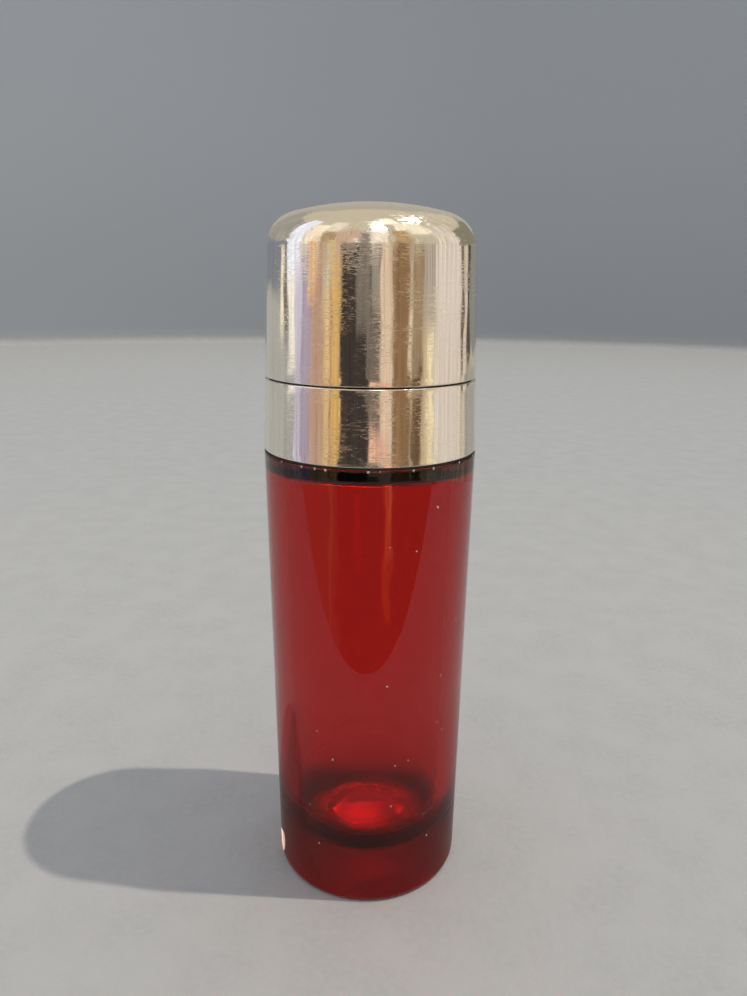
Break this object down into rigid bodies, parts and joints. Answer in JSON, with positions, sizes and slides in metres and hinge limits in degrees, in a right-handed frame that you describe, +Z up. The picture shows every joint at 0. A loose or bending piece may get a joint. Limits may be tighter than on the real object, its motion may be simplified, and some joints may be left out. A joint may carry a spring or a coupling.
{
  "type": "scent bottle with screw cap",
  "caption": "Tapered ruby glass scent bottle with a polished silver collar, a ground glass stopper and a domed silver screw cap.",
  "frame": {"origin": "centre of the flat that the bottle stands on", "axes": "+Z up along the bottle's axis; every piece is turned about Z, so +X and -Y are only the viewer's right and the side towards the viewer"},
  "size_m": [0.026, 0.026, 0.086],
  "materials": {
    "ruby_glass": "polished, deep red, see-through",
    "clear_glass": "clear, ground on the plug",
    "silver": "hand-polished silver with fine wear",
    "gilt": "worn gilding",
    "cork": "matte cork",
    "cement": "dark resin, dry"
  },
  "bodies": {
    "bottle": {"glass_body": "ruby_glass", "cement_ring": "cement", "collar_shell": "silver", "threaded_ring": "silver"},
    "stopper": {"stopper": "clear_glass"},
    "seal": {"cork_disc": "cork"},
    "cap": {"cap_shell": "silver", "cap_rim": "silver", "threaded_sleeve": "gilt", "crown_plate": "gilt", "cork_retainer": "gilt"}
  },
  "joints": [
    {"name": "cap_lift", "type": "slide", "parent": "bottle", "child": "seal", "axis": [0, 0, 1], "range_m": [0, 0.02]},
    {"name": "cap_turn", "type": "hinge", "parent": "seal", "child": "cap", "pos_m": [0, 0, 0.0663], "axis": [0, 0, 1], "range_deg": [0, 1200]},
    {"name": "stopper_lift", "type": "slide", "parent": "bottle", "child": "stopper", "axis": [0, 0, 1], "range_m": [0, 0.009]}
  ],
  "couplings": [
    {"joint": "cap_lift", "follows": "cap_turn", "m_per_rad": 0.00095492},
    {"joint": "stopper_lift", "follows": "cap_turn", "m_per_rad": 0.00042971}
  ]
}
